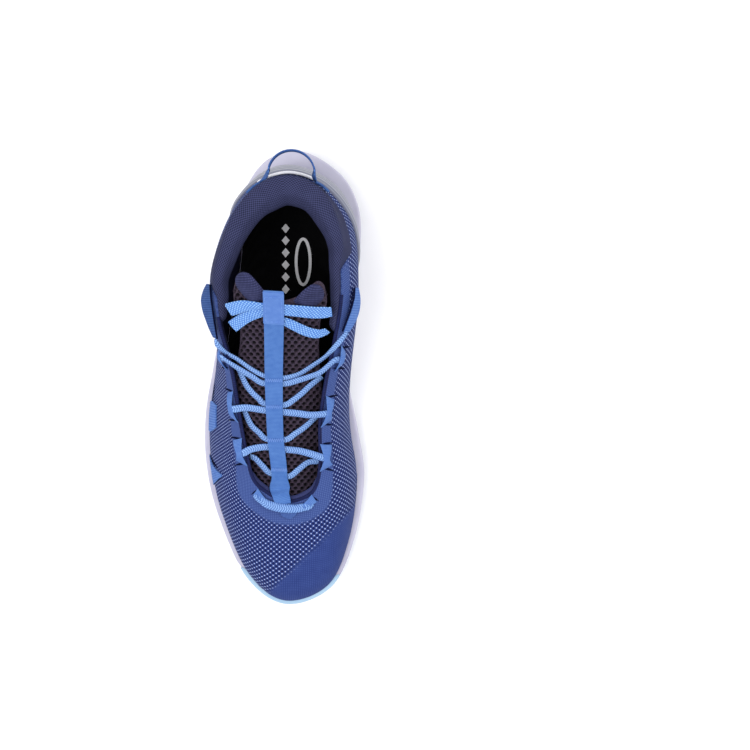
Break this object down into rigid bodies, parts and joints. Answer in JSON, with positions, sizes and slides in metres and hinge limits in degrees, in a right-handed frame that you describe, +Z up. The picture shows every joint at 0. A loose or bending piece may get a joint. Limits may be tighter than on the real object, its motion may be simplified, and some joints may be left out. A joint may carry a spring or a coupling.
{
  "type": "basketball high top",
  "caption": "Padded high-top basketball shoe for the right foot: cushioned sole, woven upper, ankle collar, laced tongue under keeper webbing and a heel pull loop.",
  "frame": {"origin": "centre of the footprint, on the ground under the sole", "axes": "+Z up, +Y towards the heel along the sole, +X towards the big toe side"},
  "size_m": [0.1061, 0.2996, 0.1544],
  "materials": {
    "outsole_rubber": "satin",
    "shank_plastic": "matte",
    "midsole_foam": "matte",
    "bumper_rubber": "satin",
    "board_fabric": "woven",
    "insole_fabric": "brushed textile",
    "upper_textile": "woven, dotted",
    "lining_fabric": "knitted",
    "stiffener_plastic": "matte",
    "overlay_film": "fine film over textile",
    "eyestay_film": "fine film over textile",
    "clip_plastic": "translucent, smooth",
    "collar_mesh": "padded knitted mesh",
    "piping_white": "matte",
    "wing_webbing": "woven",
    "blue_webbing": "woven",
    "tongue_mesh": "spacer mesh",
    "pad_mesh": "padded knitted mesh",
    "keeper_webbing": "woven webbing",
    "lace_braid": "flat braid",
    "loop_webbing": "woven webbing"
  },
  "bodies": {
    "shoe": {"tread": "outsole_rubber", "outsole": "outsole_rubber", "shank_plate": "shank_plastic", "midsole": "midsole_foam", "toe_bumper": "bumper_rubber", "strobel_board": "board_fabric", "insole": "insole_fabric", "upper_textile": "upper_textile", "lining": "lining_fabric", "toe_puff": "stiffener_plastic", "heel_stiffener": "stiffener_plastic", "toe_overlay": "overlay_film", "eyestay": "eyestay_film", "heel_clip": "clip_plastic", "collar_padding": "collar_mesh", "heel_piping": "piping_white", "wing_lateral": "wing_webbing", "wing_medial": "wing_webbing", "side_webbing": "blue_webbing", "lace_loops_lateral": "blue_webbing", "lace_loops_medial": "blue_webbing", "throat_tab": "blue_webbing", "tongue_lower": "tongue_mesh", "keeper_lower": "keeper_webbing", "bar_tacks": "keeper_webbing", "lace": "lace_braid", "pull_loop_anchor": "loop_webbing"},
    "tongue_top": {"tongue_upper": "tongue_mesh", "tongue_pad_lateral": "pad_mesh", "tongue_pad_medial": "pad_mesh", "keeper_upper": "keeper_webbing", "lace_tails": "lace_braid"},
    "heel_loop": {"pull_loop": "loop_webbing"}
  },
  "joints": [
    {"name": "tongue_fold", "type": "hinge", "parent": "shoe", "child": "tongue_top", "pos_m": [0, 0.0225, 0.1183], "axis": [1, 0, 0], "range_deg": [0, 35], "stiffness_Nm_per_rad": 0.8},
    {"name": "loop_flex", "type": "hinge", "parent": "shoe", "child": "heel_loop", "pos_m": [0.008, 0.1285, 0.1115], "axis": [1, 0, 0], "range_deg": [-25, 25], "stiffness_Nm_per_rad": 0.05}
  ]
}
